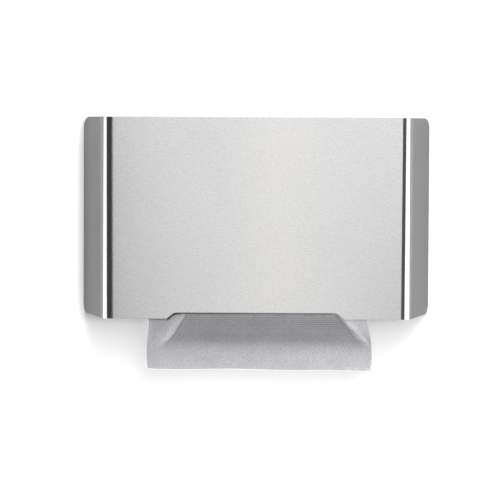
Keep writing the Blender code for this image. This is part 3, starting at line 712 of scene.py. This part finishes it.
def hanging_towel():
    notch = [Vector((v.x * 0.9935, v.y)) for v in notch_line()]
    cols, drop_rows = 330, 120
    floor_y, top_z = -0.0980, -0.0805
    bm = bmesh.new()
    rim = {}
    tuck = {}
    glint = {}
    crisp = {}
    fold_highlights = {}
    crease_shades = {}
    zone = {}
    runs = {}
    lines = []
    for i in range(cols + 1):
        f = i / cols
        x0 = -0.0965 + (0.0990 + 0.0965) * f
        # Section: along the floor of the tray, over the rounded lip, then down.
        edge = ease(0.064, 0.082, abs(x0))
        lip_y = -0.0530 - 0.0115 * edge
        places = []
        for k in range(5):
            places.append((x0, floor_y + (lip_y - 0.0045 - floor_y) * k / 4, top_z))
        for k in range(1, 7):
            a = math.radians(90 * k / 6)
            places.append((x0, lip_y - 0.0045 + 0.0045 * math.sin(a), top_z - 0.0045 * (1 - math.cos(a))))
        hem = HEM - 0.0011 * ease(-0.02, 0.10, x0) + 0.0006 * ease(-0.090, -0.0985, x0) - 0.00035 * math.sin(x0 * 70)
        start_z = TURN_Z
        for k in range(1, drop_rows + 1):
            z = start_z + (hem - start_z) * k / drop_rows
            d = down(z)
            left, right = through(EDGE_LEFT, d), through(EDGE_RIGHT, d)
            x = left + (right - left) * f
            y = hang_depth(x, z)
            blend = ease(0.0850, 0.0885, d)
            y = lip_y + (y - lip_y) * blend
            n1 = noise.noise(Vector((x * 16, z * 24, 1.7)))
            n2 = noise.noise(Vector((x * 60, z * 80, 4.2)))
            y += blend * (0.00050 * n1 + 0.00014 * n2)
            places.append((x, y, z))
        line = []
        # The pattern runs straight down from the mouth, whatever the folds do.
        run = 0.06 - sum((Vector(b) - Vector(a)).length for a, b in zip(places[:10], places[1:11]))
        last = None
        for p in places:
            v = bm.verts.new(p)
            if last is not None:
                step = v.co - last
                run += step.length if p[2] > TURN_Z else -step.z
            last = v.co.copy()
            runs[v] = (p[0], run)
            d = down(p[2])
            hanging = 1.0 if d > 0.0855 else 0.0
            c_left, c_right = through(CREASE_LEFT, d), through(CREASE_RIGHT, d)
            fade = 1 - ease(0.110, 0.123, d)
            l = hanging * fade * ease(c_left - 0.001, c_left + 0.001, -p[0])
            r = hanging * fade * ease(c_right - 0.001, c_right + 0.001, p[0])
            m = hanging * (1 - ease(0.096, 0.110, d)) * (1 - l) * (1 - r)
            zone[v] = (l, r, 0.8 * m, 1.0)
            low = ease(0.100, 0.114, d)
            crisp[v] = max(
                1.0 * l,
                0.8 * r,
                0.85 * m,
                low * (0.22 + 0.42 * ease(0.010, 0.085, p[0])),
                0.20,
            )
            from_left = p[0] - through(EDGE_LEFT, d)
            from_right = through(EDGE_RIGHT, d) - p[0]
            from_hem = p[2] - hem
            near = max(
                1 - ease(0.0003, 0.0012, from_left),
                0.8 * (1 - ease(0.0003, 0.0011, from_right)),
                0.75 * (1 - ease(0.0003, 0.0011, from_hem)),
            )
            # Painted highlight on the raised folds beside the creases, on the left flap near its edge and faintly over
            # the right half; painted shade as a thin dark line in each crease.
            if p[0] < 0:
                fold = ramp_up(c_left - 0.0003, c_left + 0.0012, -p[0]) * (1 - ease(c_left + 0.004, c_left + 0.0095, -p[0]))
                fold *= 1 - ease(0.105, 0.121, d)
                crisp[v] *= 1 - 0.6 * fold
                fold *= 0.88
                flat = 0.24 + 0.12 * ease(0.098, 0.108, d)
                fold = max(fold, flat * ease(c_left, c_left + 0.006, -p[0]) * (1 - ease(0.106, 0.118, d)))
                edge_light = 0.60 * (1 - ease(0.0020, 0.0085, from_left))
                fold = max(fold, edge_light * ease(0.090, 0.099, d) * (1 - ease(0.110, 0.119, d)))
                off = -p[0] - (c_left - 0.0009)
                sheen = 0.0
            else:
                fold = ease(c_right + 0.0004, c_right + 0.0065 + 0.004 * ease(0.098, 0.110, d), p[0])
                fold *= 1 - 0.20 * ease(0.0950, 0.1035, p[0])
                fold *= (1 - 0.5 * ease(0.096, 0.108, d)) * (1 - ease(0.110, 0.123, d))
                crisp[v] *= 1 - 0.4 * fold
                off = p[0] - (c_right - 0.0002)
                sheen = 0.26 * fold
                fold = max(fold, (0.10 + 0.07 * ease(0.108, 0.120, d)) * ease(0.020, 0.080, p[0]))
            fold_highlights[v] = hanging * fold
            crease_shades[v] = hanging * math.exp(-((off / 0.0009) ** 2)) * (1 - ease(0.103, 0.116, d))
            # Painted shade: the left half of the sheet is darkened a little.
            crease_shades[v] = max(crease_shades[v], 0.15 * hanging * (1 - ease(-0.030, 0.040, p[0])))
            # A few torn fibres at the hem's right end, drawn only as pale specks with a painted highlight and glow.
            if p[0] > 0.078 and from_hem < 0.0042:
                speck = noise.noise(Vector((p[0] * 900, p[2] * 700, 3.3)))
                near = max(near, 0.65 * ease(0.10, 0.42, speck) * ease(0.078, 0.086, p[0]) * (1 - ease(0.0028, 0.0042, from_hem)))
            # Painted highlight along the side edges and the hem.
            rim[v] = hanging * near
            glint[v] = hanging * max(near, sheen)
            # Painted shadow on the sheet just under the front's lower edge.
            tuck[v] = tucked(v.co, notch) if 0.086 < d < 0.100 else 0.0
            line.append(v)
        lines.append(line)
    uv = bm.loops.layers.uv.new("sheet")
    for a, b in zip(lines, lines[1:]):
        for k in range(len(a) - 1):
            face = bm.faces.new((a[k], b[k], b[k + 1], a[k + 1]))
            for l in face.loops:
                l[uv].uv = runs[l.vert]
    bmesh.ops.recalc_face_normals(bm, faces=bm.faces)
    bm.verts.index_update()
    order = [v for line in lines for v in line]
    order.sort(key=lambda v: v.index)
    marks = {
        name: [values[v] for v in order]
        for name, values in (
            ("rim", rim),
            ("tuck", tuck),
            ("glint", glint),
            ("crisp", crisp),
            ("fold", fold_highlights),
            ("crease", crease_shades),
        )
    }
    zones = [c for v in order for c in zone[v]]
    mesh = bpy.data.meshes.new("next_towel")
    bm.to_mesh(mesh)
    bm.free()
    for name, values in marks.items():
        layer = mesh.attributes.new(name, "FLOAT", "POINT")
        layer.data.foreach_set("value", values)
    layer = mesh.attributes.new("zone", "FLOAT_COLOR", "POINT")
    layer.data.foreach_set("color", zones)
    mesh.shade_smooth()
    mesh.materials.append(NEXT_PAPER)
    obj = bpy.data.objects.new("next_towel", mesh)
    bpy.context.scene.collection.objects.link(obj)
    mod = obj.modifiers.new("paper", "SOLIDIFY")
    mod.thickness = THICK
    mod.offset = 0.0
    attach(obj, "base")
    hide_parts("hanging_towel")
    return obj


towel = hanging_towel()

# ------------------------------------------------------------------ studio


def plane(name, corners, mat, faces=None):
    mesh = bpy.data.meshes.new(name)
    mesh.from_pydata([tuple(c) for c in corners], [], faces or [tuple(range(len(corners)))])
    mesh.materials.append(mat)
    obj = bpy.data.objects.new(name, mesh)
    bpy.context.scene.collection.objects.link(obj)
    return obj


def one_sided(name, tone, glow):
    """A matt surface that glows a little, and can be seen through from behind."""
    mat = bpy.data.materials.new(name)
    mat.use_nodes = True
    t = mat.node_tree
    t.nodes.clear()
    out = t.nodes.new("ShaderNodeOutputMaterial")
    geo = t.nodes.new("ShaderNodeNewGeometry")
    diffuse = t.nodes.new("ShaderNodeBsdfDiffuse")
    diffuse.inputs["Color"].default_value = (tone, tone, tone, 1)
    emit = t.nodes.new("ShaderNodeEmission")
    emit.inputs["Color"].default_value = (1, 1, 1, 1)
    emit.inputs["Strength"].default_value = glow
    add = t.nodes.new("ShaderNodeAddShader")
    clear = t.nodes.new("ShaderNodeBsdfTransparent")
    mix = t.nodes.new("ShaderNodeMixShader")
    t.links.new(diffuse.outputs[0], add.inputs[0])
    t.links.new(emit.outputs[0], add.inputs[1])
    t.links.new(geo.outputs["Backfacing"], mix.inputs[0])
    t.links.new(add.outputs[0], mix.inputs[1])
    t.links.new(clear.outputs[0], mix.inputs[2])
    t.links.new(mix.outputs[0], out.inputs["Surface"])
    return mat


WALL_Y = 0.0006
# The wall is open behind the plate, so that the back of the plate gets light too.
outer = [(-3, -1.2), (3, -1.2), (3, 3.0), (-3, 3.0)]
inner = [(-0.145, -0.079), (0.145, -0.079), (0.145, 0.077), (-0.145, 0.077)]
wall = plane(
    "studio_wall",
    [(x, WALL_Y, z) for x, z in outer + inner],
    one_sided("studio_wall", 0.75, 0.0),
    [(k, (k + 1) % 4, 4 + (k + 1) % 4, 4 + k) for k in range(4)],
)
floor = plane(
    "studio_floor",
    [(-3, -5, -1.2), (3, -5, -1.2), (3, WALL_Y, -1.2), (-3, WALL_Y, -1.2)],
    one_sided("studio_floor", 0.75, 0.25),
)


def card(name, corners, level):
    """A flag or reflector that only reflections see."""
    mat = bpy.data.materials.new(name)
    mat.use_nodes = True
    t = mat.node_tree
    t.nodes.clear()
    out = t.nodes.new("ShaderNodeOutputMaterial")
    emit = t.nodes.new("ShaderNodeEmission")
    colour = level if isinstance(level, tuple) else (level, level, level)
    emit.inputs["Color"].default_value = (*colour, 1)
    t.links.new(emit.outputs[0], out.inputs["Surface"])
    obj = plane(name, corners, mat)
    obj.visible_camera = False
    obj.visible_diffuse = False
    obj.visible_transmission = False
    obj.visible_shadow = False
    obj.visible_volume_scatter = False
    return obj


def upright_card(name, x0, x1, y, z0, z1, level):
    return card(name, [(x0, y, z0), (x1, y, z0), (x1, y, z1), (x0, y, z1)], level)


def front_card(y):
    """The large softbox that the flat front mirrors: brightest a little right of the middle, darker low and left."""
    obj = card(
        "front_softbox",
        [(-0.85, y, -1.6), (0.85, y, -1.6), (0.85, y, 1.8), (-0.85, y, 1.8)],
        1.0,
    )
    t = obj.data.materials[0].node_tree
    emit = next(n for n in t.nodes if n.type == "EMISSION")
    coords = t.nodes.new("ShaderNodeTexCoord")
    sep = t.nodes.new("ShaderNodeSeparateXYZ")
    t.links.new(coords.outputs["Object"], sep.inputs[0])
    spread = t.nodes.new("ShaderNodeMapRange")
    spread.inputs["From Min"].default_value = -0.150
    spread.inputs["From Max"].default_value = 0.155
    t.links.new(sep.outputs[0], spread.inputs["Value"])
    ramp = t.nodes.new("ShaderNodeValToRGB")
    ramp.color_ramp.interpolation = "LINEAR"
    # Place across, brightness, and how warm it is there.
    stops = (
        (0.0, 0.72, 0),
        (0.03, 0.74, 0),
        (0.10, 0.85, 0),
        (0.23, 0.93, 0),
        (0.37, 0.97, 0),
        (0.56, 1.07, 1),
        (0.76, 1.01, 0),
        (1.0, 0.95, 0),
    )
    ramp.color_ramp.elements[0].position = 0.0
    ramp.color_ramp.elements[1].position = 1.0
    for place, v, warm in stops:
        e = ramp.color_ramp.elements.new(place) if 0 < place < 1 else ramp.color_ramp.elements[-1 if place else 0]
        v /= 1.1
        e.color = (v * (1 + 0.004 * warm), v, v * (1 - 0.030 * warm), 1)
    t.links.new(spread.outputs[0], ramp.inputs[0])

    def math_node(op, a, b, c=None):
        n = t.nodes.new("ShaderNodeMath")
        n.operation = op
        for k, v in enumerate((a, b, c)):
            if v is None:
                continue
            if isinstance(v, float):
                n.inputs[k].default_value = v
            else:
                t.links.new(v, n.inputs[k])
        return n.outputs[0]

    # The light falls away downwards, more so towards the two ends.
    across = math_node("DIVIDE", sep.outputs[0], 0.150)
    ends = math_node("MINIMUM", math_node("MULTIPLY", across, across), 1.2)
    slope = math_node("MULTIPLY_ADD", ends, 1.0, 0.45)
    rise = math_node("MULTIPLY_ADD", sep.outputs[2], slope, 1.0)
    rise = math_node("MINIMUM", math_node("MAXIMUM", rise, 0.75), 1.18)
    t.links.new(ramp.outputs["Color"], emit.inputs["Color"])
    t.links.new(math_node("MULTIPLY", rise, 1.1 * 0.955), emit.inputs["Strength"])
    return obj


CARD_Y = -0.60
front_card(CARD_Y)
# Narrow flags close to the two bends: each draws the dark strip along its bend.
FLAG_Y = FRONT - 0.030
card(
    "flag_left",
    [(-0.1950, FLAG_Y, -0.15), (-0.1269, FLAG_Y, -0.15), (-0.1284, FLAG_Y, 0.15), (-0.2140, FLAG_Y, 0.15)],
    (0.055, 0.048, 0.052),
)
card(
    "flag_right",
    [(0.1315, FLAG_Y, -0.15), (0.1680, FLAG_Y, -0.15), (0.1730, FLAG_Y, 0.15), (0.1325, FLAG_Y, 0.15)],
    (0.104, 0.097, 0.100),
)
upright_card("side_softbox_left", -3.2, -0.85, CARD_Y, 0.1, 2.2, 2.80)
upright_card("side_softbox_left_low", -3.2, -0.85, CARD_Y, -2.0, 0.1, 1.32)
upright_card("side_softbox_right", 0.85, 3.2, CARD_Y, -2.0, 2.2, 1.7)
for side in (-1, 1):
    x = 3.2 * side
    card(
        "side_end_left" if side < 0 else "side_end_right",
        [(x, CARD_Y, -1.8), (x, -0.002, -1.8), (x, -0.002, 2.0), (x, CARD_Y, 2.0)],
        1.7,
    )
upright_card("wall_reflector_left", -3.2, -0.205, -0.002, -1.6, 1.8, 1.5)
upright_card("wall_reflector_right", 0.205, 3.2, -0.002, -1.6, 1.8, 1.8)

world = bpy.data.worlds.new("studio")
bpy.context.scene.world = world
world.use_nodes = True
world.node_tree.nodes["Background"].inputs["Color"].default_value = (1, 1, 1, 1)
world.node_tree.nodes["Background"].inputs["Strength"].default_value = 0.46


def area(name, place, aim, size, power, size_y=None, glossy=True):
    data = bpy.data.lights.new(name, "AREA")
    data.energy = power
    data.shape = "RECTANGLE"
    data.size = size
    data.size_y = size_y or size
    obj = bpy.data.objects.new(name, data)
    obj.location = place
    obj.rotation_euler = (
        (Vector(aim) - Vector(place)).to_track_quat("-Z", "Y").to_euler()
    )
    obj.visible_camera = False
    obj.visible_glossy = glossy
    bpy.context.scene.collection.objects.link(obj)
    return obj


area("key", (0.46, -2.20, 1.38), (0, -0.05, -0.05), 0.90, 31.0, 1.25, glossy=False)
area("front_fill", (0.45, -3.20, 0.10), (0, -0.05, -0.02), 1.5, 21.5, 1.5, glossy=False)

# Lamps that only the wall receives: a small low one that only the cover blocks, for the narrow shadow
# beside it, and two large ones, of which the towel blocks one as well, for the soft shadow below.
lamps = {
    "wall_lamp": area("wall_lamp", (0.62, -3.60, 0.11), (0, 0, 0), 0.13, 39.0, 0.20, glossy=False),
    "wall_strip": area("wall_strip", (0.38, -3.60, 0.95), (0.38, 0, 0.95), 1.06, 31.0, 1.70, glossy=False),
    "wall_strip_low": area("wall_strip_low", (0.30, -3.60, 1.10), (0.30, 0, 1.10), 0.90, 40.5, 1.80, glossy=False),
}
blockers = {
    "wall_lamp": ("cover_shell_fine", "steel_front"),
    "wall_strip": ("cover_shell_fine", "steel_front"),
    "wall_strip_low": ("cover_shell_fine", "steel_front", "next_towel"),
}
receivers = bpy.data.collections.new("lamp_receivers")
receivers.objects.link(wall)
for name, lamp in lamps.items():
    blocking = bpy.data.collections.new(name + "_blockers")
    for blocker in blockers[name]:
        blocking.objects.link(bpy.data.objects[blocker])
    lamp.light_linking.blocker_collection = blocking
    lamp.light_linking.receiver_collection = receivers

# ------------------------------------------------------------------ camera

DISTANCE = 3.5
PIXEL = 0.00088
cam_data = bpy.data.cameras.new("camera")
cam_data.sensor_fit = "HORIZONTAL"
cam_data.sensor_width = 36.0
cam_data.lens = 36.0 * DISTANCE / (500 * PIXEL)
cam_data.clip_end = 50
camera = bpy.data.objects.new("camera", cam_data)
bpy.context.scene.collection.objects.link(camera)
eye = Vector((-0.0056, FRONT - DISTANCE, 0.0890))
aim = Vector((-0.0056, FRONT, 0.0890 - 132.8 * PIXEL))
camera.location = eye
turn = (aim - eye).to_track_quat("-Z", "Y").to_matrix().to_4x4()
turn = turn @ Matrix.Rotation(math.radians(0.28), 4, "Z")
camera.rotation_euler = turn.to_euler()
bpy.context.scene.camera = camera
bpy.context.scene.view_settings.view_transform = "Standard"
bpy.context.scene.view_settings.look = "None"
